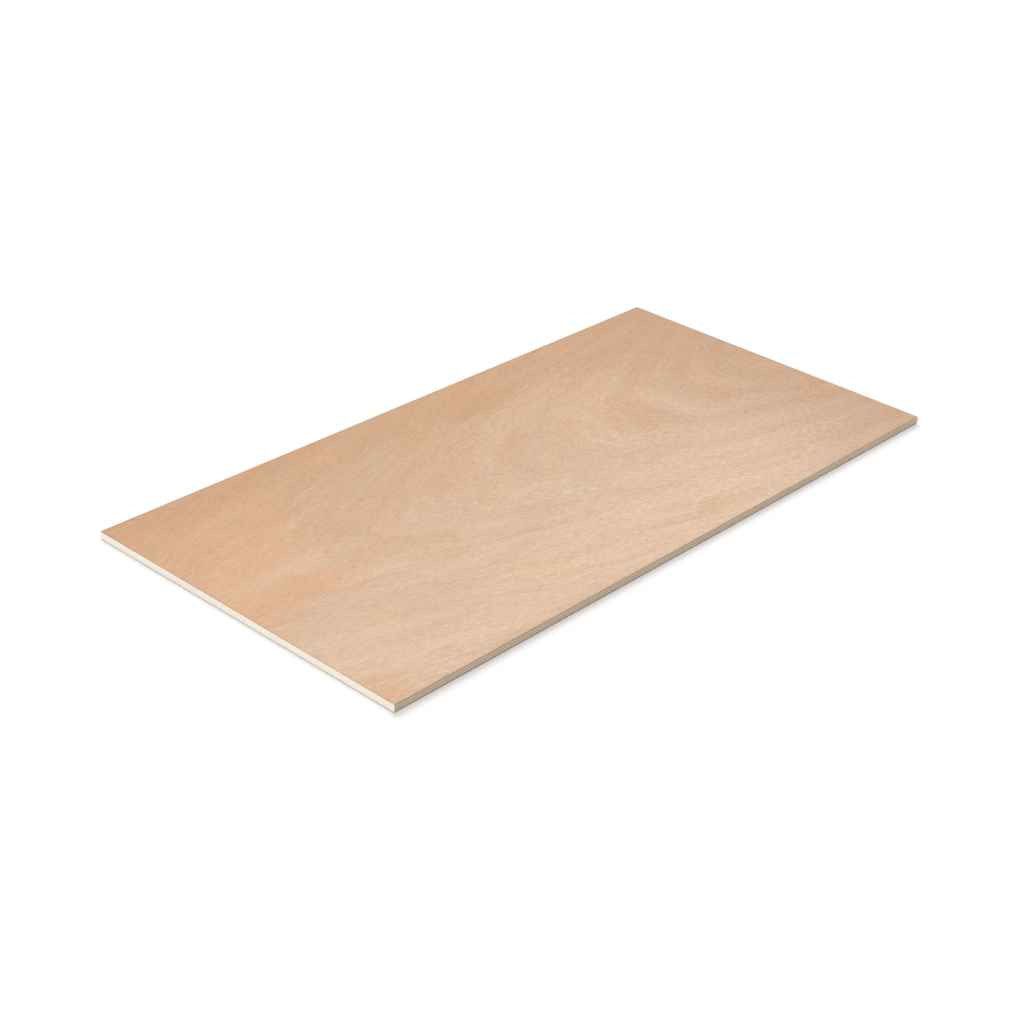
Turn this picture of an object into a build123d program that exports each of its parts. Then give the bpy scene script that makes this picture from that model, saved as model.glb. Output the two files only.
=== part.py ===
"""Plywood sheet: veneers laid with their grain crossed, glued into one board and sawn to size.

Sizes are in millimetres. +X runs along the sheet and along the face grain, +Y across it, +Z up.
The origin is the middle of the underside, which lies on the floor.
"""

import os

from build123d import *

# Sawn size of the sheet
SHEET_LENGTH = 1200.0
SHEET_WIDTH = 600.0

# Thickness of each kind of veneer, pressed and sanded
FACE_VENEER_THICKNESS = 0.6
CROSSBAND_THICKNESS = 2.2
CORE_PLY_THICKNESS = 2.1
BACK_VENEER_THICKNESS = 0.6

# Sawn edges, broken with a few strokes of sandpaper
CORNER_RADIUS = 0.8
ARRIS_RADIUS = 0.3

# Plies between the two outer veneers, from the underside up. The grain turns a right angle at
# every glue line: it runs across the sheet in a crossband and along it in all the other plies.
INNER_PLIES = [
    ("lower_crossband", CROSSBAND_THICKNESS),
    ("lower_core_ply", CORE_PLY_THICKNESS),
    ("centre_crossband", CROSSBAND_THICKNESS),
    ("upper_core_ply", CORE_PLY_THICKNESS),
    ("upper_crossband", CROSSBAND_THICKNESS),
]

os.makedirs("parts", exist_ok=True)

# One saw cut goes through the whole pressed board, so every ply shares this outline
with BuildSketch() as sawn_outline:
    Rectangle(SHEET_LENGTH, SHEET_WIDTH)
    fillet(sawn_outline.vertices(), CORNER_RADIUS)

# Back veneer, with its lower arris rounded where the sheet meets the floor
with BuildPart() as back_veneer:
    with BuildSketch(Plane.XY):
        add(sawn_outline.sketch)
    extrude(amount=BACK_VENEER_THICKNESS)
    lower_arris = back_veneer.edges().group_by(Axis.Z)[0]
    fillet(lower_arris, min(ARRIS_RADIUS, BACK_VENEER_THICKNESS / 2))
back_veneer.part.label = "back_veneer"
export_step(back_veneer.part, "parts/back_veneer.step")

# Inner plies, each bedded on the one below it
glue_line = BACK_VENEER_THICKNESS
for ply_name, ply_thickness in INNER_PLIES:
    with BuildPart() as inner_ply:
        with BuildSketch(Plane.XY.offset(glue_line)):
            add(sawn_outline.sketch)
        extrude(amount=ply_thickness)
    inner_ply.part.label = ply_name
    export_step(inner_ply.part, f"parts/{ply_name}.step")
    glue_line += ply_thickness

# Face veneer, with its upper arris rounded
with BuildPart() as face_veneer:
    with BuildSketch(Plane.XY.offset(glue_line)):
        add(sawn_outline.sketch)
    extrude(amount=FACE_VENEER_THICKNESS)
    upper_arris = face_veneer.edges().group_by(Axis.Z)[-1]
    fillet(upper_arris, min(ARRIS_RADIUS, FACE_VENEER_THICKNESS / 2))
face_veneer.part.label = "face_veneer"
export_step(face_veneer.part, "parts/face_veneer.step")
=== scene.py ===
"""Looks of a plywood sheet: crossed plies with sawn edges, peeled veneer faces and a white studio.

Lengths are in metres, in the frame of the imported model: +X along the sheet, +Y across it, +Z up.
"""

import logging
import math
from dataclasses import asdict, dataclass
from enum import Enum

import bpy
from mathutils import Color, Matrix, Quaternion, Vector

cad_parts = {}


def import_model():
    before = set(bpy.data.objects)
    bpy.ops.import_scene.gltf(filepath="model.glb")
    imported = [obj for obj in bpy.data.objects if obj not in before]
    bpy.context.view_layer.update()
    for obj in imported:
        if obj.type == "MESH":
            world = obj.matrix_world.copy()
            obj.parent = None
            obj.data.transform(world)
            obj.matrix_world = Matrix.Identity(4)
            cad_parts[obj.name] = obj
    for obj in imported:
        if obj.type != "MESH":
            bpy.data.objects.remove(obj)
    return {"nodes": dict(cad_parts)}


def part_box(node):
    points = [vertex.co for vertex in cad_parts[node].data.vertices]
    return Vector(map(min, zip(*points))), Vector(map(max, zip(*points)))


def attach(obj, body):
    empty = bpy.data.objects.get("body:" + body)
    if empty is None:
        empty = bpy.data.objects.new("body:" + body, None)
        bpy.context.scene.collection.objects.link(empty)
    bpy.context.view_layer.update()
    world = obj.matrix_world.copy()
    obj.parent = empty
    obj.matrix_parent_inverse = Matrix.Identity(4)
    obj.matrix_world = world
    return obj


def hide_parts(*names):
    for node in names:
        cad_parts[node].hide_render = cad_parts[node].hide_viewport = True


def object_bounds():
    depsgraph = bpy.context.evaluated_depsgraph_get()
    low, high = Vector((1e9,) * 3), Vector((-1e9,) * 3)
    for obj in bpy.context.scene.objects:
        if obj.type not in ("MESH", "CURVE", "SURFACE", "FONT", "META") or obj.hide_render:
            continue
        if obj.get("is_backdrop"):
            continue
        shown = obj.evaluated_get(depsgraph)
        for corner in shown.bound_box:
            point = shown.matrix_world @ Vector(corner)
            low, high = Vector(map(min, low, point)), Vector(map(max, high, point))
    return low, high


LOG = logging.getLogger("plywood_sheet")
BODY = "root"
MM = 0.001
RIGHT_ANGLE = math.radians(90)
SIDES = 4
FULL_LEVEL = 255
NODE_STEP = 180

# Sockets of a Mix node that mixes colours, by number, because its other kinds have the same names
MIX_FACTOR = 0
MIX_UNDER = 6
MIX_OVER = 7
MIX_RESULT = 2

# Names of the values that the saw relief leaves on every point of a ply, for the materials
GLUE_GAP = "glue_gap"
TORN = "torn"

Socket = bpy.types.NodeSocket
Source = Socket | float | tuple[float, ...]
Point = tuple[float, float, float]
Colour = tuple[float, float, float, float]
WHITE: Colour = (1.0, 1.0, 1.0, 1.0)


def tone(red: int, green: int, blue: int) -> Colour:
    """Turns a colour given as 8-bit sRGB levels into the linear colour that a shader takes.

    Args:
        red: Level of red, 0 to 255.
        green: Level of green, 0 to 255.
        blue: Level of blue, 0 to 255.

    Returns:
        The linear colour, opaque.
    """
    shares = [level / FULL_LEVEL for level in (red, green, blue)]
    linear = Color(shares).from_srgb_to_scene_linear()
    return (linear.r, linear.g, linear.b, 1.0)


class Grain(Enum):
    """Which way a ply's fibres run."""

    ALONG = 0.0
    ACROSS = 1.0


class Arris(Enum):
    """Which of a ply's two rims is rounded: the one on the outside of the sheet."""

    NONE = "none"
    UPPER = "upper"
    LOWER = "lower"


class WoodTone(Enum):
    """Tones found on the peeled face."""

    PALE = tone(227, 197, 171)
    DEEP = tone(206, 166, 132)
    ROSE = tone(204, 168, 139)
    SALMON = tone(224, 179, 143)
    BROWN = tone(205, 165, 130)
    STREAK = tone(211, 163, 124)


@dataclass(frozen=True)
class Weave:
    """How close a random pattern lies: its features per unit of each of three coordinates."""

    across: float
    along: float
    deep: float
    octaves: float = 1.0


# Patterns of a peeled veneer, from the slow drift of the log's axis to single pores. The ones
# that follow the growth rings count their features across by the ring, all others by the metre.
DRIFT = Weave(across=3.2, along=1.7, deep=1.0, octaves=2.0)
WANDER = Weave(across=16.0, along=7.0, deep=2.3)
FADE = Weave(across=7.0, along=4.0, deep=2.9, octaves=2.0)
WAVES = Weave(across=26.0, along=17.0, deep=3.7)
CLOUDS = Weave(across=6.5, along=3.4, deep=7.7, octaves=3.0)
MOTTLE = Weave(across=36.0, along=20.0, deep=4.1, octaves=2.0)
NAP = Weave(across=17.0, along=9.0, deep=6.1, octaves=2.0)
RING_RIBBONS = Weave(across=5.5, along=4.5, deep=4.5)
RING_LINES = Weave(across=5.5, along=6.0, deep=6.0, octaves=2.0)
RING_STREAKS = Weave(across=23.0, along=9.0, deep=9.0, octaves=2.0)
STRANDS = Weave(across=42.0, along=13.0, deep=7.1, octaves=2.0)
RIPPLES = Weave(across=210.0, along=75.0, deep=5.3)
FIBRES = Weave(across=520.0, along=100.0, deep=5.9, octaves=2.0)
GRIT = Weave(across=520.0, along=400.0, deep=6.7)
PORES = Weave(across=1000.0, along=120.0, deep=8.3)
FLECKS = Weave(across=260.0, along=62.0, deep=9.1)
PATCH_RIM = Weave(across=70.0, along=26.0, deep=9.0, octaves=2.0)

# Value that every pattern wanders about, and the strength of fibres where the nap lies flat
MEAN = 0.5
FLAT_NAP = 0.5

# Levels at which a pattern is read as a mask, which is 0 at the first and 1 at the second
NAP_LEVELS = (0.32, 0.68)
LINE_LEVELS = (0.47, 0.77)
PORE_LEVELS = (0.56, 0.70)
FLECK_LEVELS = (0.70, 0.80)

# The same for a patch, by the distance from its middle, and how far its rim strays, in half sizes
PATCH_LEVELS = (1.35, 0.2)
PATCH_RAGGEDNESS = 1.1

# How much each pattern deepens, reddens, cools and shades a veneer's tone and lifts its surface
DEEPENING = {"Bands": 0.15, "Ribbons": 0.44, "Streaks": 0.48, "Clouds": 0.20}
REDDENING = {"Bands": 0.30, "Clouds": 0.25}
COOLING = {"Mottle": 1.15, "Clouds": 0.8}
SHADING = {"Fibres": 0.63, "Ripples": 0.38, "Grit": 0.76, "Strands": 0.14, "Flecks": 0.12,
           "Pores": -0.12}
LIFTING = {"Fibres": 1.0, "Pores": -0.6}

# Patterns that a saw leaves, and of the wood that it cuts. They are counted by the metre.
SAW_MARKS = Weave(across=480.0, along=30.0, deep=1.0, octaves=3.0)
CUT_FIBRE = Weave(across=750.0, along=12.0, deep=900.0, octaves=3.0)
CUT_VESSELS = Weave(across=2500.0, along=45.0, deep=2500.0)
SAW_ROUGHNESS = Weave(across=330.0, along=330.0, deep=900.0, octaves=2.0)
SPLINTERS = Weave(across=260.0, along=40.0, deep=1.0, octaves=2.0)

# Levels of the masks there: vessels by their pattern, an edge by how much the surface faces up or
# down, and a cut by how much it faces along one axis
VESSEL_LEVELS = (0.6, 0.7)
EDGE_LEVELS = (0.85, 0.35)
CUT_LEVELS = (0.45, 0.85)

# How much the blade's strokes lean, and how much those patterns shade a sawn edge
STROKE_LEAN = 0.35
VENEER_EDGE = {"Fibre": 0.30, "Marks": 0.20}
CORE_EDGE = {"Fibre": 0.22, "Marks": 0.12}


class Graph:
    """A node tree that is being filled: places nodes and wires values into them."""

    def __init__(self, tree: bpy.types.NodeTree) -> None:
        """Starts on a tree, which may already hold nodes."""
        self.tree = tree

    def declare(self, direction: str, kind: str, titles: list[str]) -> None:
        """Gives the tree named inputs or outputs of one kind."""
        for title in titles:
            self.tree.interface.new_socket(name=title, in_out=direction, socket_type=kind)

    def node(self, kind: str, **settings: object) -> bpy.types.Node:
        """Adds one node.

        Args:
            kind: Blender's name for the node's type.
            **settings: Properties to set on it.

        Returns:
            The new node.
        """
        made = self.tree.nodes.new(kind)
        made.location.x = NODE_STEP * len(self.tree.nodes)
        for name, value in settings.items():
            setattr(made, name, value)
        return made

    def feed(self, socket: Socket, source: Source | str) -> None:
        """Wires a socket to another node's output, or sets its plain value.

        Args:
            socket: The input to feed.
            source: The output, or the value.
        """
        if isinstance(source, Socket):
            self.tree.links.new(source, socket)
        elif socket.type == "VECTOR":
            socket.default_value = source[:3]
        else:
            socket.default_value = source

    def math(self, operation: str, *values: Source, clamp: bool = False) -> Socket:
        """Works out one value.

        Args:
            operation: Blender's name for the sum, such as ADD.
            *values: What goes into it, in order.
            clamp: Whether the result is held between 0 and 1.

        Returns:
            The result's socket.
        """
        made = self.node("ShaderNodeMath", operation=operation, use_clamp=clamp)
        for socket, value in zip(made.inputs, values):
            self.feed(socket, value)
        return made.outputs[0]

    def total(self, *values: Source) -> Socket:
        """Adds up any number of values.

        Args:
            *values: The values.

        Returns:
            Their sum.
        """
        result = values[0]
        for value in values[1:]:
            result = self.math("ADD", result, value)
        return result

    def product(self, *values: Source) -> Socket:
        """Multiplies any number of values.

        Args:
            *values: The values.

        Returns:
            Their product.
        """
        result = values[0]
        for value in values[1:]:
            result = self.math("MULTIPLY", result, value)
        return result

    def swing(self, value: Source, size: Source) -> Socket:
        """Turns a 0 to 1 pattern into one that swings about zero, times a size."""
        return self.math("MULTIPLY", self.math("SUBTRACT", value, MEAN), size)

    def weigh(self, patterns: dict[str, Socket], sizes: dict[str, float]) -> Socket:
        """Adds up the patterns that have a size, each swinging about zero."""
        return self.total(*[self.swing(patterns[name], size) for name, size in sizes.items()])

    def ramp(self, value: Source, low: Source, high: Source) -> Socket:
        """Rises smoothly from 0 at low to 1 at high, or falls where high is the smaller.

        Args:
            value: What is looked at.
            low: Where the result is 0.
            high: Where it is 1.

        Returns:
            The result's socket.
        """
        made = self.node("ShaderNodeMapRange", interpolation_type="SMOOTHSTEP", clamp=True)
        for socket, source in zip(made.inputs, (value, low, high)):
            self.feed(socket, source)
        return made.outputs[0]

    def choose(self, share: Source, first: Source, second: Source) -> Socket:
        """Goes from one value to another as the share goes from 0 to 1."""
        rest = self.math("SUBTRACT", 1.0, share)
        return self.math("MULTIPLY_ADD", second, share, self.math("MULTIPLY", first, rest))

    def inside(self, place: Source, half: Source) -> Socket:
        """Gives how far a coordinate lies inside a span that reaches half either way from zero."""
        return self.math("SUBTRACT", half, self.math("ABSOLUTE", place))

    def split(self, vector: Source) -> list[Socket]:
        """Takes a vector apart.

        Args:
            vector: The vector.

        Returns:
            Its x, y and z.
        """
        made = self.node("ShaderNodeSeparateXYZ")
        self.feed(made.inputs[0], vector)
        return list(made.outputs)

    def join(self, x: Source, y: Source, z: Source) -> Socket:
        """Puts three values together as a vector.

        Args:
            x: Its x.
            y: Its y.
            z: Its z.

        Returns:
            The vector's socket.
        """
        made = self.node("ShaderNodeCombineXYZ")
        for socket, source in zip(made.inputs, (x, y, z)):
            self.feed(socket, source)
        return made.outputs[0]

    def noise(self, weave: Weave, across: Source, along: Source, deep: Source) -> Socket:
        """Makes a random pattern.

        Args:
            weave: How close it lies along each coordinate.
            across: The coordinate across the grain.
            along: The coordinate along it.
            deep: The third coordinate, or a seed.

        Returns:
            A value that wanders about MEAN.
        """
        place = self.join(
            self.math("MULTIPLY", across, weave.across),
            self.math("MULTIPLY", along, weave.along),
            self.math("MULTIPLY", deep, weave.deep),
        )
        made = self.node("ShaderNodeTexNoise", noise_dimensions="3D")
        self.feed(made.inputs["Vector"], place)
        made.inputs["Scale"].default_value = 1.0
        made.inputs["Detail"].default_value = weave.octaves
        return made.outputs[0]

    def blend(self, share: Source, under: Source, over: Source) -> Socket:
        """Goes from one colour to another as the share goes from 0 to 1, and on beyond them.

        Args:
            share: How much of the second colour shows.
            under: The first colour.
            over: The second colour.

        Returns:
            The mixed colour's socket.
        """
        made = self.node("ShaderNodeMix", data_type="RGBA", blend_type="MIX", clamp_factor=False)
        for number, source in ((MIX_FACTOR, share), (MIX_UNDER, under), (MIX_OVER, over)):
            self.feed(made.inputs[number], source)
        return made.outputs[MIX_RESULT]

    def tint(self, colour: Source, filter_colour: Source) -> Socket:
        """Shows a colour through a filter of another colour.

        Args:
            colour: The colour.
            filter_colour: The filter.

        Returns:
            The colour that comes through.
        """
        made = self.node("ShaderNodeVectorMath", operation="MULTIPLY")
        self.feed(made.inputs[0], colour)
        self.feed(made.inputs[1], filter_colour)
        return made.outputs[0]

    def shade(self, colour: Source, change: Source) -> Socket:
        """Lightens or darkens a colour by a share of itself.

        Args:
            colour: The colour.
            change: The share, below zero to darken.

        Returns:
            The changed colour's socket.
        """
        made = self.node("ShaderNodeVectorMath", operation="SCALE")
        self.feed(made.inputs[0], colour)
        self.feed(made.inputs["Scale"], self.math("ADD", change, 1.0))
        return made.outputs[0]

    def reshape(self, kind: str, shape: Socket, **sources: Source | str) -> Socket:
        """Adds a node that works on a shape.

        Args:
            kind: Blender's name for the node's type.
            shape: The shape that goes in.
            **sources: What the node's other inputs take.

        Returns:
            The shape that comes out.
        """
        made = self.node(kind)
        for name, source in {"Geometry": shape, **sources}.items():
            self.feed(made.inputs[name], source)
        return made.outputs[0]


class Effect(Graph):
    """A shader node group with named inputs and outputs, made once and placed in each material."""

    def __init__(self, name: str, vectors: list[str], values: list[str], outputs: list[str]) -> None:
        """Makes the group and its sockets.

        Args:
            name: The group's name.
            vectors: Its vector inputs.
            values: Its number inputs.
            outputs: Its outputs, all numbers that change over the surface.
        """
        super().__init__(bpy.data.node_groups.new(name, "ShaderNodeTree"))
        self.declare("INPUT", "NodeSocketVector", vectors)
        self.declare("INPUT", "NodeSocketFloat", values)
        self.declare("OUTPUT", "NodeSocketFloat", outputs)
        self.given = self.node("NodeGroupInput").outputs
        self.result = self.node("NodeGroupOutput").inputs

    def give(self, patterns: dict[str, Socket]) -> None:
        """Wires the group's outputs."""
        for name, pattern in patterns.items():
            self.feed(self.result[name], pattern)

    def place(self, graph: Graph, **sources: Source) -> dict[str, Socket]:
        """Puts the group into a material.

        Args:
            graph: The material's tree.
            **sources: What each input takes, with _ for the spaces in its name.

        Returns:
            The group's outputs by name.
        """
        made = graph.node("ShaderNodeGroup", node_tree=self.tree)
        for name, source in sources.items():
            graph.feed(made.inputs[name.replace("_", " ")], source)
        return {socket.name: socket for socket in made.outputs}


def peeled_figure() -> Effect:
    """Makes the figure of a veneer peeled off a log.

    The growth rings lie like nested cones and the knife meets them at a slant, so they show as
    arches about one axis, which open towards +X and crowd together there.

    Returns:
        The effect. Its outputs are patterns that wander about MEAN, and the masks Lines, Pores and
        Flecks.
    """
    effect = Effect(
        "peeled_figure",
        vectors=["Place"],
        values=["Seed", "Axis", "Narrow Radius", "Narrow At", "Wide Radius", "Wide At", "Slope",
                "Swell", "Growth", "Drift", "Wander", "Waviness", "Fan", "Shortening"],
        outputs=["Bands", "Ribbons", "Lines", "Streaks", "Ripples", "Fibres", "Grit", "Strands",
                 "Clouds", "Mottle", "Pores", "Flecks"],
    )
    given = effect.given
    x, y, _ = effect.split(given["Place"])
    drift = effect.swing(effect.noise(DRIFT, y, x, given["Seed"]), given["Drift"])
    across = effect.math("ADD", effect.math("SUBTRACT", y, given["Axis"]), drift)
    effect.give(ring_patterns(effect, x, y, across))
    effect.give(fibre_patterns(effect, x, y, across))
    return effect


def ring_patterns(effect: Effect, x: Socket, y: Socket, across: Socket) -> dict[str, Socket]:
    """Makes the patterns of a peeled figure that follow its growth rings.

    Args:
        effect: The figure that is being made.
        x: Where the point is along the sheet.
        y: Where it is across.
        across: How far across it is from the log's axis.

    Returns:
        The patterns by name.
    """
    given = effect.given
    seed = given["Seed"]
    seeded_y = effect.math("ADD", y, seed)
    opened = effect.ramp(x, given["Narrow At"], given["Wide At"])
    radius = effect.choose(opened, given["Narrow Radius"], given["Wide Radius"])
    bow = effect.math("DIVIDE", effect.product(across, across), effect.product(radius, 2.0))
    apex = effect.math("SUBTRACT", x, bow)
    growth = effect.math("EXPONENT", effect.product(apex, given["Growth"]))
    swell = effect.product(growth, given["Swell"])
    wander = effect.swing(effect.noise(WANDER, y, x, seed), given["Wander"])
    rings = effect.total(effect.product(apex, given["Slope"]), swell, wander)
    wave = effect.math("COSINE", effect.product(rings, math.tau))
    fading = effect.product(wave, effect.noise(FADE, y, x, seed))
    lines = effect.noise(RING_LINES, rings, x, seeded_y)
    return {
        "Bands": effect.math("MULTIPLY_ADD", fading, MEAN, MEAN),
        "Ribbons": effect.noise(RING_RIBBONS, rings, x, seeded_y),
        "Lines": effect.ramp(lines, *LINE_LEVELS),
        "Streaks": effect.noise(RING_STREAKS, rings, x, seeded_y),
    }


def fibre_patterns(effect: Effect, x: Socket, y: Socket, across: Socket) -> dict[str, Socket]:
    """Makes the patterns of a peeled figure that follow its fibres, and the clouds and grit.

    Args:
        effect: The figure that is being made.
        x: Where the point is along the sheet.
        y: Where it is across.
        across: How far across it is from the log's axis.

    Returns:
        The patterns by name.
    """
    given = effect.given
    seed = given["Seed"]
    waves = effect.swing(effect.noise(WAVES, y, x, seed), given["Waviness"])
    spread = effect.math("SUBTRACT", 1.0, effect.product(x, given["Fan"]))
    lie = effect.math("MULTIPLY_ADD", across, spread, waves)
    steepness = effect.math("EXPONENT", effect.product(x, given["Shortening"]))
    along = effect.math("DIVIDE", steepness, given["Shortening"])
    nap = effect.ramp(effect.noise(NAP, y, x, seed), *NAP_LEVELS)
    strength = effect.math("ADD", nap, FLAT_NAP)
    fibres = effect.swing(effect.noise(FIBRES, lie, along, seed), strength)
    return {
        "Ripples": effect.noise(RIPPLES, lie, along, seed),
        "Fibres": effect.math("ADD", fibres, MEAN),
        "Grit": effect.noise(GRIT, y, x, seed),
        "Strands": effect.noise(STRANDS, lie, along, seed),
        "Clouds": effect.noise(CLOUDS, y, x, seed),
        "Mottle": effect.noise(MOTTLE, lie, along, seed),
        "Pores": effect.ramp(effect.noise(PORES, lie, along, seed), *PORE_LEVELS),
        "Flecks": effect.ramp(effect.noise(FLECKS, lie, along, seed), *FLECK_LEVELS),
    }


def wood_patch() -> Effect:
    """Makes one soft-edged patch of other-toned wood, drawn out along the grain.

    Returns:
        The effect, whose output is 1 in the middle of the patch and 0 outside it.
    """
    effect = Effect(
        "wood_patch",
        vectors=["Place"],
        values=["Centre X", "Centre Y", "Half Length", "Half Width"],
        outputs=["Mask"],
    )
    given = effect.given
    x, y, _ = effect.split(given["Place"])
    from_x = effect.math("SUBTRACT", x, given["Centre X"])
    from_y = effect.math("SUBTRACT", y, given["Centre Y"])
    along = effect.math("DIVIDE", from_x, given["Half Length"])
    across = effect.math("DIVIDE", from_y, given["Half Width"])
    squares = effect.total(effect.product(along, along), effect.product(across, across))
    ragged = effect.swing(effect.noise(PATCH_RIM, y, x, given["Centre X"]), PATCH_RAGGEDNESS)
    reach = effect.math("ADD", effect.math("SQRT", squares), ragged)
    effect.give({"Mask": effect.ramp(reach, *PATCH_LEVELS)})
    return effect


def sawn_cut() -> Effect:
    """Makes what a saw leaves on a ply's edge.

    Returns:
        The effect. Edge is 1 on all sawn edges, End is 1 where the saw cut the fibres across, and
        the third output is 1 on the sheet's two ends, which take a painted highlight. Marks are the
        blade's strokes, and Fibre and Vessels are the wood's own grain there.
    """
    effect = Effect(
        "sawn_cut",
        vectors=["Place", "Facing"],
        values=["Grain Across", "Seed"],
        outputs=["Edge", "End", "Fresh", "Marks", "Fibre", "Vessels"],
    )
    given = effect.given
    turned = given["Grain Across"]
    x, y, z = effect.split(given["Place"])
    face_x, face_y, face_z = [effect.math("ABSOLUTE", part) for part in effect.split(given["Facing"])]
    along_fibre = effect.choose(turned, x, y)
    across_fibre = effect.choose(turned, y, x)
    cut_across = effect.choose(turned, face_x, face_y)
    along_edge = effect.total(effect.product(x, face_y), effect.product(y, face_x))
    stroke = effect.math("MULTIPLY_ADD", z, STROKE_LEAN, along_edge)
    vessels = effect.noise(CUT_VESSELS, across_fibre, along_fibre, z)
    effect.give({
        "Edge": effect.ramp(face_z, *EDGE_LEVELS),
        "End": effect.ramp(cut_across, *CUT_LEVELS),
        # 1 on the sheet's two ends, where the painted highlight goes
        "Fresh": effect.ramp(face_x, *CUT_LEVELS),
        "Marks": effect.noise(SAW_MARKS, stroke, z, given["Seed"]),
        "Fibre": effect.noise(CUT_FIBRE, across_fibre, along_fibre, z),
        "Vessels": effect.ramp(vessels, *VESSEL_LEVELS),
    })
    return effect


class WoodMaterial:
    """A material of bare wood that is being made: its graph and the coordinates it looks at."""

    def __init__(self, name: str) -> None:
        """Starts the material.

        Args:
            name: Its name.
        """
        self.material = bpy.data.materials.new(name)
        self.material.use_nodes = True
        self.graph = Graph(self.material.node_tree)
        self.shader = self.material.node_tree.nodes["Principled BSDF"].inputs
        look = self.graph.node("ShaderNodeTexCoord").outputs
        self.place = look["Object"]
        self.facing = look["Normal"]

    def stored(self, name: str) -> Socket:
        """Reads a value that the mesh holds at each point."""
        return self.graph.node("ShaderNodeAttribute", attribute_name=name).outputs["Fac"]

    def finish(self, colour: Socket, roughness: Socket, specular: float, relief: Socket,
               depth: float) -> bpy.types.Material:
        """Wires the shader.

        Args:
            colour: The wood's colour.
            roughness: Its roughness.
            specular: How strongly it shines, where 0.5 is plain plastic.
            relief: Height of its surface, 0 to 1.
            depth: What a height of 1 stands for.

        Returns:
            The finished material.
        """
        bump = self.graph.node("ShaderNodeBump")
        bump.inputs["Distance"].default_value = depth
        self.graph.feed(bump.inputs["Height"], relief)
        self.graph.feed(self.shader["Base Color"], colour)
        self.graph.feed(self.shader["Roughness"], roughness)
        self.graph.feed(self.shader["Normal"], bump.outputs["Normal"])
        self.shader["Specular IOR Level"].default_value = specular
        return self.material


@dataclass(frozen=True)
class PeeledLog:
    """The log that a veneer comes from, and how the knife met its growth rings.

    The rings arch about the axis, on arches that open from narrow_radius at x = narrow_at to
    wide_radius at x = wide_at. Along the axis, the knife crosses slope rings a metre, and besides
    swell times e to the growth times x rings in all.
    """

    seed: float
    axis: float
    narrow_radius: float = 24 * MM
    narrow_at: float = -0.6
    wide_radius: float = 45 * MM
    wide_at: float = 0.25
    slope: float = 1.4
    swell: float = 0.9
    growth: float = 2.5
    drift: float = 50 * MM
    wander: float = 0.4
    waviness: float = 8 * MM
    fan: float = 0.8
    shortening: float = 0.5

    def show(self, graph: Graph, figure: Effect, place: Socket) -> dict[str, Socket]:
        """Puts the log's figure into a material and gives its patterns by name."""
        values = {name.title(): value for name, value in asdict(self).items()}
        return figure.place(graph, Place=place, **values)


@dataclass(frozen=True)
class Patch:
    """Where a patch of other-toned wood lies on a veneer, and how much of that tone it takes."""

    x: float
    y: float
    half_length: float
    half_width: float
    wood: WoodTone
    share: float

    def lay(self, graph: Graph, mask: Effect, place: Socket, face: Socket) -> Socket:
        """Lays the patch over a veneer's colour."""
        shown = mask.place(graph, Place=place, Centre_X=self.x, Centre_Y=self.y,
                           Half_Length=self.half_length, Half_Width=self.half_width)["Mask"]
        return graph.blend(graph.product(shown, self.share), face, self.wood.value)


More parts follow.
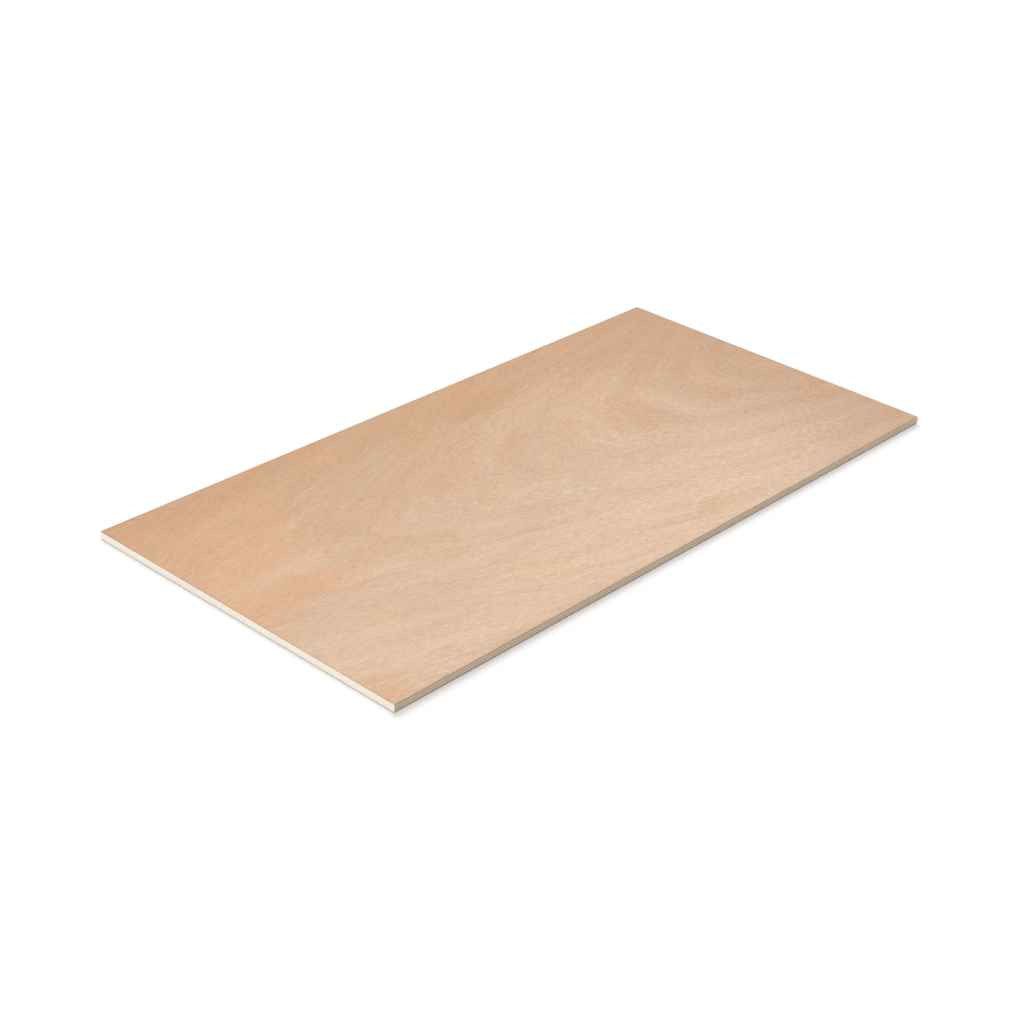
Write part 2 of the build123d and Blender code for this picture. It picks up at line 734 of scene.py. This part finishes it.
@dataclass(frozen=True)
class VeneerFinish:
    """Sanded face of a peeled veneer: tones that change over the leaf, and the log's figure.

    The tone deepens across the leaf from deep_from to deep_to and turns rosy along it from
    rose_from to rose_to. The fibres are boldest where it is neither deep nor rosy. A painted shade
    darkens and cools the leaf along its edges, which lie half_length and half_width from the middle.
    """

    name: str
    log: PeeledLog
    half_length: float
    half_width: float
    deep_from: float
    deep_to: float
    rose_from: float
    rose_to: float
    patches: tuple[Patch, ...]
    cut: Colour = tone(168, 130, 98)
    torn: Colour = tone(232, 205, 176)
    torn_share: float = 0.7
    fibre_dark: Colour = (0.75, 0.705, 0.655, 1.0)
    fibre_light: Colour = (1.25, 1.295, 1.345, 1.0)
    warm: Colour = (1.052, 0.996, 0.93, 1.0)
    cool: Colour = (0.955, 1.003, 1.065, 1.0)
    line_share: float = 0.24
    boldest: float = 1.12
    deep_hides: float = 0.24
    rose_hides: float = 0.22
    # Painted shade along the leaf's edges: the tint it darkens and cools by, and the width of its band
    worn: Colour = (0.88, 0.94, 0.99, 1.0)
    worn_width: float = 5 * MM
    roughness: float = 0.7
    roughness_change: float = 0.2
    specular: float = 0.05
    relief: float = 0.02 * MM

    def material(self, figure: Effect, cut: Effect, patch: Effect) -> bpy.types.Material:
        """Makes the veneer's material.

        Args:
            figure: The peeled figure.
            cut: The sawn edge.
            patch: The patch of other-toned wood.

        Returns:
            The material.
        """
        wood = WoodMaterial(self.name)
        graph = wood.graph
        grain = self.log.show(graph, figure, wood.place)
        edge = cut.place(graph, Place=wood.place, Facing=wood.facing,
                         Grain_Across=Grain.ALONG.value, Seed=self.log.seed)
        face = self.face_tone(graph, wood.place, grain, patch)
        sawn = graph.shade(self.cut, graph.weigh(edge, VENEER_EDGE))
        colour = graph.blend(edge["Edge"], face, sawn)
        colour = graph.blend(graph.product(wood.stored(TORN), self.torn_share), colour, self.torn)
        rough = graph.math("ADD", graph.swing(grain["Fibres"], self.roughness_change), self.roughness)
        relief = graph.total(graph.weigh(grain, LIFTING), graph.product(edge["Marks"], edge["Edge"]))
        return wood.finish(colour, rough, self.specular, relief, self.relief)

    def face_tone(self, graph: Graph, place: Socket, grain: dict[str, Socket], patch: Effect) -> Socket:
        """Mixes the veneer's tones by place, patch and figure.

        Args:
            graph: The material's graph.
            place: Where the point is.
            grain: The peeled figure's outputs.
            patch: The patch of other-toned wood.

        Returns:
            The face's colour.
        """
        x, y, _ = graph.split(place)
        deep = graph.ramp(y, self.deep_from, self.deep_to)
        rosy = graph.ramp(x, self.rose_from, self.rose_to)
        deepness = graph.math("ADD", deep, graph.weigh(grain, DEEPENING))
        rosiness = graph.math("ADD", rosy, graph.weigh(grain, REDDENING), clamp=True)
        face = graph.blend(deepness, WoodTone.PALE.value, WoodTone.DEEP.value)
        face = graph.blend(rosiness, face, WoodTone.ROSE.value)
        for spot in self.patches:
            face = spot.lay(graph, patch, place, face)
        face = graph.blend(graph.product(grain["Lines"], self.line_share), face, WoodTone.STREAK.value)
        hidden = graph.total(graph.product(deep, self.deep_hides), graph.product(rosy, self.rose_hides))
        boldness = graph.math("SUBTRACT", self.boldest, hidden)
        lightness = graph.math("MULTIPLY_ADD", graph.weigh(grain, SHADING), boldness, MEAN)
        face = graph.tint(face, graph.blend(lightness, self.fibre_dark, self.fibre_light))
        coolness = graph.math("ADD", graph.weigh(grain, COOLING), MEAN)
        face = graph.tint(face, graph.blend(coolness, self.warm, self.cool))
        # Painted shade along the leaf's edges, darker and cooler
        return graph.tint(face, graph.blend(self.wear(graph, x, y), WHITE, self.worn))

    def wear(self, graph: Graph, x: Socket, y: Socket) -> Socket:
        """Gives how much the painted shade along the leaf's edges darkens a point.

        Args:
            graph: The material's graph.
            x: Where the point is along the sheet.
            y: Where it is across.

        Returns:
            1 at the leaf's edge and 0 further in.
        """
        from_end = graph.inside(x, self.half_length)
        from_side = graph.inside(y, self.half_width)
        return graph.ramp(graph.math("MINIMUM", from_end, from_side), self.worn_width, 0.0)


@dataclass(frozen=True)
class CoreFinish:
    """Pale inner ply, which shows only where the saw went through it.

    The sheet's two ends are painted paler and whiter than its sides, as a painted highlight. Plies
    near the underside take a painted shade, cooler and greyer by the tint under, and plies above
    grey_to do not.
    """

    name: str
    grain: Grain
    seed: float
    # Bare wood and glue lines: the sheet's ends are painted paler and whiter than its sides, as a
    # painted highlight
    at_ends: Colour
    at_sides: Colour
    glue_at_ends: Colour = tone(210, 190, 166)
    glue_at_sides: Colour = tone(176, 144, 112)
    glue_inner: float = 0.05 * MM
    glue_outer: float = 0.24 * MM
    # Painted shade near the underside: a cooler, greyer tint that is gone above grey_to
    under: Colour = (0.92, 0.995, 1.07, 1.0)
    grey_to: float = 9 * MM
    vessel_depth: float = -0.12
    roughness: float = 0.75
    roughness_change: float = 0.2
    specular: float = 0.2
    relief: float = 0.08 * MM

    def material(self, cut: Effect) -> bpy.types.Material:
        """Makes the core ply's material.

        Args:
            cut: The sawn edge.

        Returns:
            The material.
        """
        wood = WoodMaterial(self.name)
        graph = wood.graph
        edge = cut.place(graph, Place=wood.place, Facing=wood.facing,
                         Grain_Across=self.grain.value, Seed=self.seed)
        vessels = graph.product(edge["Vessels"], edge["End"], self.vessel_depth)
        # Painted highlight: the ends paler and whiter than the sides
        bare = graph.blend(edge["Fresh"], self.at_sides, self.at_ends)
        bare = graph.shade(bare, graph.total(graph.weigh(edge, CORE_EDGE), vessels))
        # Painted shade, cooler and greyer towards the underside
        height = graph.split(wood.place)[2]
        bare = graph.tint(bare, graph.blend(graph.ramp(height, 0.0, self.grey_to), self.under, WHITE))
        # The glue lines take the same painted highlight on the ends
        glue = graph.blend(edge["Fresh"], self.glue_at_sides, self.glue_at_ends)
        glued = graph.ramp(wood.stored(GLUE_GAP), self.glue_outer, self.glue_inner)
        rough = graph.math("ADD", graph.swing(edge["Fibre"], self.roughness_change), self.roughness)
        relief = graph.total(edge["Fibre"], edge["Marks"])
        return wood.finish(graph.blend(glued, bare, glue), rough, self.specular, relief, self.relief)


@dataclass(frozen=True)
class SawRelief:
    """What sawing does to a ply's edges: fine roughness, and splinters torn out along cross cuts.

    Points within reach of the outline are sawn. Cuts along the fibres have only the share rip_share
    of the depth. A splinter is torn where its pattern goes from tear_from to tear_to. It is whole
    within the share tear_whole of the ply's thickness from its outer face and gone at tear_gone. It
    goes tear_depth inward and that times tear_drop into the ply.
    """

    reach: float = 0.5 * MM
    depth: float = 0.07 * MM
    rip_share: float = 0.4
    tear_depth: float = 1.6 * MM
    tear_drop: float = 0.16
    tear_from: float = 0.62
    tear_to: float = 0.74
    tear_whole: float = 0.1
    tear_gone: float = 0.6
    seed_step: float = 10 * MM

    def tree(self) -> bpy.types.NodeTree:
        """Builds the node tree that a ply's modifier uses.

        Returns:
            The geometry node tree, with named inputs for what differs from ply to ply.
        """
        graph = Graph(bpy.data.node_groups.new("saw_relief", "GeometryNodeTree"))
        graph.declare("INPUT", "NodeSocketGeometry", ["Geometry"])
        graph.declare("INPUT", "NodeSocketFloat", [
            "Half Length", "Half Width", "Bottom", "Thickness", "Grain Across", "Torn Height",
            "Tearing", "Seed",
        ])
        graph.declare("INPUT", "NodeSocketMaterial", ["Finish"])
        graph.declare("OUTPUT", "NodeSocketGeometry", ["Geometry"])
        given = graph.node("NodeGroupInput").outputs
        x, y, z = graph.split(graph.node("GeometryNodeInputPosition").outputs[0])
        on_short = self.beside(graph, x, given["Half Length"])
        on_long = self.beside(graph, y, given["Half Width"])
        above = graph.math("SUBTRACT", z, given["Bottom"])

        cut_across = graph.choose(given["Grain Across"], on_short, on_long)
        coarse = graph.choose(cut_across, self.rip_share, 1.0)
        seeded_z = graph.math("MULTIPLY_ADD", given["Seed"], self.seed_step, z)
        relief = graph.product(graph.noise(SAW_ROUGHNESS, x, y, seeded_z), coarse, self.depth)
        pattern = graph.noise(SPLINTERS, y, x, given["Seed"])
        torn = graph.product(self.splinters(graph, given, pattern, above), on_short, given["Tearing"])
        tear = graph.product(torn, self.tear_depth)

        inward = graph.product(graph.total(relief, tear), -1.0)
        # Torn Height is 1 at the upper face and 0 at the lower one, which gives -1 and 1 here
        into_ply = graph.math("MULTIPLY_ADD", given["Torn Height"], -2.0, 1.0)
        offset = graph.join(
            graph.product(graph.math("SIGN", x), on_short, inward),
            graph.product(graph.math("SIGN", y), on_long, inward),
            graph.product(tear, into_ply, self.tear_drop),
        )
        glue_gap = graph.math("MINIMUM", above, graph.math("SUBTRACT", given["Thickness"], above))
        shape = given["Geometry"]
        for name, value in ((GLUE_GAP, glue_gap), (TORN, torn)):
            shape = graph.reshape("GeometryNodeStoreNamedAttribute", shape, Name=name, Value=value)
        shape = graph.reshape("GeometryNodeSetPosition", shape, Offset=offset)
        shape = graph.reshape("GeometryNodeRealizeInstances", shape)
        shape = graph.reshape("GeometryNodeSetMaterial", shape, Material=given["Finish"])
        graph.feed(graph.node("NodeGroupOutput").inputs["Geometry"], shape)
        return graph.tree

    def splinters(self, graph: Graph, given: bpy.types.NodeOutputs, pattern: Socket,
                  above: Socket) -> Socket:
        """Says how much of a point a splinter takes where the cut tears.

        Args:
            graph: The tree.
            given: Its inputs.
            pattern: Where splinters lie along the edge.
            above: The point's height above the ply's lower face.

        Returns:
            The share, 0 to 1.
        """
        height = graph.math("DIVIDE", above, given["Thickness"])
        from_face = graph.math("ABSOLUTE", graph.math("SUBTRACT", height, given["Torn Height"]))
        splinter = graph.ramp(pattern, self.tear_from, self.tear_to)
        return graph.product(splinter, graph.ramp(from_face, self.tear_gone, self.tear_whole))

    def beside(self, graph: Graph, place: Source, half: Source) -> Socket:
        """Says whether a point lies on one of two opposite sawn edges, as 1 or 0."""
        return graph.math("LESS_THAN", graph.inside(place, half), self.reach)


@dataclass(frozen=True)
class SawnOutline:
    """Outline that one saw cut gives every ply, as rings of points with the same order.

    The ring round the sawn edge is fine. A ring at the inset rim and one at the inset border are
    each coarser than the one outside it, by the factor thinning.
    """

    half_length: float
    half_width: float
    corner_radius: float = 0.8 * MM
    steps: int = 600
    arc_steps: int = 4
    thinning: int = 5
    rim: float = 4 * MM
    border: float = 16 * MM

    def corners(self, inset: float) -> list[tuple[float, float]]:
        """Gives the four corners of the rectangle at an inset, anticlockwise from -X -Y."""
        x, y = self.half_length - inset, self.half_width - inset
        return [(-x, -y), (x, -y), (x, y), (-x, y)]

    def sawn_ring(self, inset: float, height: float) -> list[Point]:
        """Gives the fine ring round the sawn edge.

        Args:
            inset: How far inside the outline it runs.
            height: Its height.

        Returns:
            The points, side by side: along one side, then round its corner.
        """
        radius = self.corner_radius - inset
        centres = self.corners(inset + radius)
        ring = []
        for side in range(SIDES):
            start, end = centres[side], centres[(side + 1) % SIDES]
            out = RIGHT_ANGLE * (side - 1)
            for step in range(self.steps + 1):
                share = step / self.steps
                ring.append((
                    start[0] + (end[0] - start[0]) * share + radius * math.cos(out),
                    start[1] + (end[1] - start[1]) * share + radius * math.sin(out),
                    height,
                ))
            for step in range(1, self.arc_steps):
                turn = out + RIGHT_ANGLE * step / self.arc_steps
                ring.append((end[0] + radius * math.cos(turn), end[1] + radius * math.sin(turn), height))
        return ring

    def flat_ring(self, inset: float, height: float, steps: int) -> list[Point]:
        """Gives a coarser ring on a ply's flat face, with sharp corners.

        Args:
            inset: How far inside the outline it runs.
            height: Its height.
            steps: How many steps each side has.

        Returns:
            The points, side by side.
        """
        corners = self.corners(inset)
        ring = []
        for side in range(SIDES):
            (x0, y0), (x1, y1) = corners[side], corners[(side + 1) % SIDES]
            for step in range(steps):
                share = step / steps
                ring.append((x0 + (x1 - x0) * share, y0 + (y1 - y0) * share, height))
        return ring


def stretch(ring: list[int], first: int, count: int) -> list[int]:
    """Gives a run of a closed ring's points, which goes on past its end from its start."""
    return [ring[(first + step) % len(ring)] for step in range(count)]


class PlyMesh:
    """Collects one ply's points and faces: a wall of sawn rings, closed by two flat faces."""

    def __init__(self, outline: SawnOutline) -> None:
        """Starts an empty mesh.

        Args:
            outline: The outline that its rings follow.
        """
        self.outline = outline
        self.points: list[Point] = []
        self.faces: list[list[int]] = []

    def add(self, ring: list[Point]) -> list[int]:
        """Adds points.

        Args:
            ring: The points.

        Returns:
            Their numbers.
        """
        first = len(self.points)
        self.points += ring
        return list(range(first, len(self.points)))

    def wall(self, profile: list[tuple[float, float]]) -> tuple[list[int], list[int]]:
        """Runs an edge profile round the outline.

        Args:
            profile: Inset and height of each ring, from the bottom up.

        Returns:
            The lowest and the highest ring's points.
        """
        rings = [self.add(self.outline.sawn_ring(inset, height)) for inset, height in profile]
        for low, high in zip(rings, rings[1:]):
            for here in range(len(low)):
                after = (here + 1) % len(low)
                self.faces.append([low[here], low[after], high[after], high[here]])
        return rings[0], rings[-1]

    def cap(self, rim: list[int], height: float, upward: bool) -> None:
        """Closes a ply's flat face with two rings that grow coarser inwards and a plain grid.

        Args:
            rim: The wall's ring that the face joins.
            height: The face's height.
            upward: Whether it looks up.
        """
        outline = self.outline
        middle_steps = outline.steps // outline.thinning
        inner_steps = middle_steps // outline.thinning
        middle = self.add(outline.flat_ring(outline.rim, height, middle_steps))
        rows = self.grid(height, inner_steps)
        right = [row[-1] for row in rows]
        left = [row[0] for row in rows]
        inner = rows[0][:-1] + right[:-1] + rows[-1][:0:-1] + left[:0:-1]

        found = []
        side_points = outline.steps + outline.arc_steps
        for side in range(SIDES):
            first = side * side_points
            straight = stretch(rim, first, outline.steps + 1)
            beside = stretch(middle, side * middle_steps, middle_steps + 1)
            found += self.strip(straight, beside)
            arc = stretch(rim, first + outline.steps, outline.arc_steps + 1)
            found.append(arc + [beside[-1]])
        found += self.strip(middle + middle[:1], inner + inner[:1])
        for low, high in zip(rows, rows[1:]):
            found += [[low[k], low[k + 1], high[k + 1], high[k]] for k in range(inner_steps)]
        self.faces += found if upward else [face[::-1] for face in found]

    def grid(self, height: float, steps: int) -> list[list[int]]:
        """Adds a plain grid of points inside the border.

        Args:
            height: Its height.
            steps: How many steps each side has.

        Returns:
            Its rows of points, from -Y up.
        """
        (x0, y0), _, (x1, y1), _ = self.outline.corners(self.outline.border)
        shares = [k / steps for k in range(steps + 1)]
        rows = [[(x0 + (x1 - x0) * u, y0 + (y1 - y0) * v, height) for u in shares] for v in shares]
        return [self.add(row) for row in rows]

    def strip(self, fine: list[int], coarse: list[int]) -> list[list[int]]:
        """Joins a fine line of points to the coarser one beside it.

        Args:
            fine: The fine line.
            coarse: The coarser line.

        Returns:
            The faces between them.
        """
        thinning = self.outline.thinning
        return [
            fine[k * thinning:(k + 1) * thinning + 1] + [coarse[k + 1], coarse[k]]
            for k in range(len(coarse) - 1)
        ]

    def mesh(self, name: str) -> bpy.types.Mesh:
        """Turns the points and faces into a mesh.

        Args:
            name: The mesh's name.

        Returns:
            The mesh.
        """
        made = bpy.data.meshes.new(name)
        made.from_pydata(self.points, [], self.faces)
        made.update()
        return made


@dataclass
class Ply:
    """One veneer of the sheet, shaped as the press and the saw leave it.

    A groove runs along each glue line, seam deep and seam_rise high on this ply's side of it.
    """

    node: str
    slot: str
    grain: Grain
    arris: Arris
    seed: float
    tearing: float = 0.0
    seam: float = 0.05 * MM
    seam_rise: float = 0.12 * MM
    arris_radius: float = 0.3 * MM
    arris_steps: int = 3

    def profile(self, bottom: float, top: float) -> list[tuple[float, float]]:
        """Gives the sawn edge's section, with the glue line's groove and the rounded arris.

        Args:
            bottom: Height of the ply's lower face.
            top: Height of its upper face.

        Returns:
            Inset and height of each ring, from the bottom up.
        """
        turns = [RIGHT_ANGLE * step / self.arris_steps for step in range(self.arris_steps + 1)]
        rounded = [(1 - math.cos(turn), 1 - math.sin(turn)) for turn in turns]
        round_over = [(self.arris_radius * inset, self.arris_radius * rise) for inset, rise in rounded]
        groove = [(0.0, self.seam_rise), (self.seam, 0.0)]
        upper = round_over if self.arris is Arris.UPPER else groove
        lower = round_over if self.arris is Arris.LOWER else groove
        middle = [(0.0, (bottom + top) / 2)] if self.arris is Arris.NONE else []
        below = [(inset, bottom + rise) for inset, rise in reversed(lower)]
        above = [(inset, top - rise) for inset, rise in upper]
        return below + middle + above

    def build(self, outline: SawnOutline, relief: bpy.types.NodeTree,
              finish: bpy.types.Material) -> bpy.types.Object:
        """Makes the ply's mesh and sets it in place of its plain solid.

        Args:
            outline: The sheet's sawn outline.
            relief: The tree that roughens sawn edges.
            finish: The ply's material.

        Returns:
            The ply's object.
        """
        low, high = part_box(self.node)
        shape = PlyMesh(outline)
        lowest, highest = shape.wall(self.profile(low[2], high[2]))
        shape.cap(lowest, low[2], upward=False)
        shape.cap(highest, high[2], upward=True)
        piece = bpy.data.objects.new(f"{self.node}_sawn", shape.mesh(self.node))
        bpy.context.scene.collection.objects.link(piece)
        self.roughen(piece, relief, {
            "Half Length": outline.half_length,
            "Half Width": outline.half_width,
            "Bottom": low[2],
            "Thickness": high[2] - low[2],
            "Grain Across": self.grain.value,
            "Torn Height": 1.0 if self.arris is Arris.UPPER else 0.0,
            "Tearing": self.tearing,
            "Seed": self.seed,
            "Finish": finish,
        })
        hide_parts(self.node)
        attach(piece, BODY)
        return piece

    def roughen(self, piece: bpy.types.Object, relief: bpy.types.NodeTree,
                values: dict[str, object]) -> None:
        """Runs the saw relief on a piece and keeps the result as its plain mesh.

        Args:
            piece: The ply's object.
            relief: The tree that roughens sawn edges.
            values: What the tree's inputs take, by name.
        """
        modifier = piece.modifiers.new("saw_relief", "NODES")
        modifier.node_group = relief
        for item in relief.interface.items_tree:
            if item.in_out == "INPUT" and item.name in values:
                modifier[item.identifier] = values[item.name]
        graph = bpy.context.evaluated_depsgraph_get()
        made = bpy.data.meshes.new_from_object(
            piece.evaluated_get(graph), preserve_all_data_layers=True, depsgraph=graph)
        piece.modifiers.remove(modifier)
        piece.data = made
        made.name = piece.name


@dataclass
class PlywoodSheet:
    """The whole sheet: seven plies with their grain crossed, about the frame's origin."""

    half_length: float
    half_width: float

    def plies(self) -> list[Ply]:
        """Lists the plies.

        Returns:
            The plies, from the face down.
        """
        return [
            Ply("face_veneer", "face_veneer", Grain.ALONG, Arris.UPPER, seed=1.0, tearing=0.5),
            Ply("upper_crossband", "crossband", Grain.ACROSS, Arris.NONE, seed=2.0),
            Ply("upper_core_ply", "core_ply", Grain.ALONG, Arris.NONE, seed=3.0),
            Ply("centre_crossband", "crossband", Grain.ACROSS, Arris.NONE, seed=4.0),
            Ply("lower_core_ply", "core_ply", Grain.ALONG, Arris.NONE, seed=5.0),
            Ply("lower_crossband", "crossband", Grain.ACROSS, Arris.NONE, seed=6.0),
            Ply("back_veneer", "back_veneer", Grain.ALONG, Arris.LOWER, seed=7.0, tearing=0.3),
        ]

    def face_finish(self) -> VeneerFinish:
        """Gives the face veneer's finish: salmon at the left end, paler in front, rosy on the right.

        Returns:
            The finish.
        """
        return VeneerFinish(
            "face_veneer",
            PeeledLog(seed=3.0, axis=0.02),
            half_length=self.half_length,
            half_width=self.half_width,
            deep_from=-0.28,
            deep_to=0.48,
            rose_from=0.20,
            rose_to=0.72,
            # Each has its place along and across, its half length and half width, tone and share
            patches=(
                Patch(-0.62, 0.10, 0.28, 0.20, WoodTone.SALMON, 0.6),
                Patch(-0.52, -0.013, 0.19, 0.028, WoodTone.SALMON, 0.65),
                Patch(-0.46, 0.036, 0.13, 0.026, WoodTone.PALE, 0.45),
                Patch(-0.54, -0.15, 0.14, 0.06, WoodTone.PALE, 0.5),
                Patch(-0.61, -0.28, 0.08, 0.07, WoodTone.SALMON, 0.7),
                Patch(-0.38, -0.15, 0.32, 0.07, WoodTone.SALMON, 0.1),
                Patch(-0.34, -0.305, 0.28, 0.022, WoodTone.BROWN, 0.22),
                Patch(-0.48, 0.29, 0.34, 0.07, WoodTone.STREAK, 0.35),
                Patch(0.18, 0.14, 0.24, 0.06, WoodTone.PALE, 0.25),
                Patch(0.10, 0.226, 0.08, 0.04, WoodTone.BROWN, 0.5),
                Patch(0.12, -0.113, 0.07, 0.06, WoodTone.PALE, 0.6),
                Patch(0.262, 0.01, 0.07, 0.075, WoodTone.BROWN, 0.36),
                Patch(0.335, 0.015, 0.028, 0.075, WoodTone.PALE, 0.4),
            ),
        )

    def back_finish(self) -> VeneerFinish:
        """Gives the back veneer's finish: the same wood, off another log.

        Returns:
            The finish.
        """
        return VeneerFinish(
            "back_veneer",
            PeeledLog(seed=11.0, axis=-0.09),
            half_length=self.half_length,
            half_width=self.half_width,
            deep_from=0.4,
            deep_to=-0.5,
            rose_from=-0.3,
            rose_to=-0.9,
            cut=tone(164, 138, 112),
            patches=(
                Patch(0.31, 0.12, 0.16, 0.05, WoodTone.BROWN, 0.5),
                Patch(-0.22, -0.05, 0.12, 0.04, WoodTone.PALE, 0.4),
            ),
        )

    def finishes(self) -> dict[str, bpy.types.Material]:
        """Makes each slot's material.

        Returns:
            The materials by slot name.
        """
        figure, cut, patch = peeled_figure(), sawn_cut(), wood_patch()
        # Each ply's ends are painted paler than its sides, as a painted highlight
        crossband = CoreFinish("crossband", Grain.ACROSS, seed=2.0,
                               at_ends=tone(250, 240, 226), at_sides=tone(208, 182, 152))
        core_ply = CoreFinish("core_ply", Grain.ALONG, seed=5.0,
                              at_ends=tone(239, 227, 211), at_sides=tone(226, 209, 184))
        return {
            "face_veneer": self.face_finish().material(figure, cut, patch),
            "back_veneer": self.back_finish().material(figure, cut, patch),
            "crossband": crossband.material(cut),
            "core_ply": core_ply.material(cut),
        }

    def build(self) -> list[bpy.types.Object]:
        """Builds and dresses every ply.

        Returns:
            The pieces, from the face down.
        """
        outline = SawnOutline(self.half_length, self.half_width)
        finishes = self.finishes()
        relief = SawRelief().tree()
        return [ply.build(outline, relief, finishes[ply.slot]) for ply in self.plies()]


@dataclass(frozen=True)
class Lamp:
    """One wide, far light. Its share is how much of the light on a level surface comes from it.

    Its height above the floor, its turn anticlockwise from +X and its width are in degrees. Its
    colour is a factor on that share.
    """

    name: str
    share: float
    height: float
    turn: float
    width: float
    colour: Colour = WHITE

    def hang(self, scene: bpy.types.Scene) -> None:
        """Adds the lamp to the scene.

        Args:
            scene: The scene.
        """
        rise, turn = math.radians(self.height), math.radians(self.turn)
        lamp = bpy.data.lights.new(self.name, "SUN")
        lamp.color = self.colour[:3]
        # A sun of strength pi from straight above lights as much as a world of strength 1
        lamp.energy = math.pi * self.share / math.sin(rise)
        lamp.angle = math.radians(self.width)
        light = bpy.data.objects.new(self.name, lamp)
        level = math.cos(rise)
        toward = Vector((level * math.cos(turn), level * math.sin(turn), math.sin(rise)))
        light.rotation_mode = "QUATERNION"
        light.rotation_quaternion = toward.to_track_quat("Z", "Y")
        scene.collection.objects.link(light)


@dataclass
class Studio:
    """White floor and world, soft lights from behind and from the left, and the camera.

    The sky's light is a little blue and the back light a little warm. Together they are white on a
    level surface, and shadows are cool. The floor lies floor_gap below the sheet, as under one that
    is never quite flat, and throws back the share floor_bounce of the light.
    """

    eye: Point = (-2.1051, -1.8096, 1.4846)
    aim: Point = (-0.1259, -0.0630, 0.012)
    roll: float = math.radians(2.788)
    lens: float = 71.95
    ambient: float = 0.39
    sky: Colour = (0.97, 1.0, 1.04, 1.0)
    lamps: tuple[Lamp, ...] = (
        Lamp("back_light", share=0.31, height=48, turn=57, width=35,
             colour=(1.038, 1.0, 0.95, 1.0)),
        Lamp("left_light", share=0.30, height=33, turn=195, width=20),
    )
    floor_size: float = 60.0
    floor_gap: float = 0.85 * MM
    floor_bounce: float = 0.85

    def build(self) -> None:
        """Sets up the whole studio."""
        scene = bpy.context.scene
        scene.view_settings.view_transform = "Standard"
        self.light_world(scene)
        for lamp in self.lamps:
            lamp.hang(scene)
        self.lay_floor(scene)
        self.set_camera(scene)

    def shown_white(self, graph: Graph) -> Socket:
        """Tells what is seen straight, mirrored or through glass from other light.

        Args:
            graph: The tree of the world or of a material.

        Returns:
            1 for what is seen and 0 for other light.
        """
        path = graph.node("ShaderNodeLightPath").outputs
        seen = graph.math("MAXIMUM", path["Is Camera Ray"], path["Is Glossy Ray"])
        return graph.math("MAXIMUM", seen, path["Is Transmission Ray"])

    def light_world(self, scene: bpy.types.Scene) -> None:
        """Makes an even world that lights softly, in the sky's colour, and shows as white.

        Args:
            scene: The scene.
        """
        world = bpy.data.worlds.new("studio")
        world.use_nodes = True
        scene.world = world
        graph = Graph(world.node_tree)
        background = world.node_tree.nodes["Background"].inputs
        shown = self.shown_white(graph)
        graph.feed(background["Color"], graph.blend(shown, self.sky, WHITE))
        graph.feed(background["Strength"], graph.choose(shown, self.ambient, 1.0))

    def lay_floor(self, scene: bpy.types.Scene) -> None:
        """Lays the floor, which shows as white and keeps the sheet's shadow.

        Args:
            scene: The scene.
        """
        half = self.floor_size / 2
        mesh = bpy.data.meshes.new("floor")
        corners = [(-half, -half), (half, -half), (half, half), (-half, half)]
        mesh.from_pydata([(x, y, -self.floor_gap) for x, y in corners], [], [(0, 1, 2, 3)])
        material = bpy.data.materials.new("floor")
        material.use_nodes = True
        material.node_tree.nodes.clear()
        graph = Graph(material.node_tree)
        matt = graph.node("ShaderNodeBsdfDiffuse")
        bounce = (self.floor_bounce, self.floor_bounce, self.floor_bounce, 1.0)
        graph.feed(matt.inputs["Color"], graph.blend(self.shown_white(graph), bounce, WHITE))
        graph.feed(graph.node("ShaderNodeOutputMaterial").inputs["Surface"], matt.outputs[0])
        mesh.materials.append(material)
        floor = bpy.data.objects.new("floor", mesh)
        scene.collection.objects.link(floor)
        floor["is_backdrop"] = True

    def set_camera(self, scene: bpy.types.Scene) -> None:
        """Places the camera where the photograph was taken from.

        Args:
            scene: The scene.
        """
        camera = bpy.data.cameras.new("camera")
        camera.lens = self.lens
        camera.clip_end = self.floor_size
        holder = bpy.data.objects.new("camera", camera)
        holder.location = self.eye
        holder.rotation_mode = "QUATERNION"
        look = Vector(self.aim) - Vector(self.eye)
        tilt = Quaternion((0.0, 0.0, 1.0), self.roll)
        holder.rotation_quaternion = look.to_track_quat("-Z", "Y") @ tilt
        scene.collection.objects.link(holder)
        scene.camera = holder


def main() -> None:
    """Loads the frame, builds the sheet and the studio, and reports each piece."""
    logging.basicConfig(level=logging.INFO, format="%(name)s: %(message)s")
    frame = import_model()
    LOG.info("frame has %d nodes", len(frame["nodes"]))
    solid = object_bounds()
    _, high = solid
    sheet = PlywoodSheet(half_length=high.x, half_width=high.y)
    for piece in sheet.build():
        LOG.info("%s: %d faces", piece.name, len(piece.data.polygons))
    Studio().build()


if __name__ == "__main__":
    main()
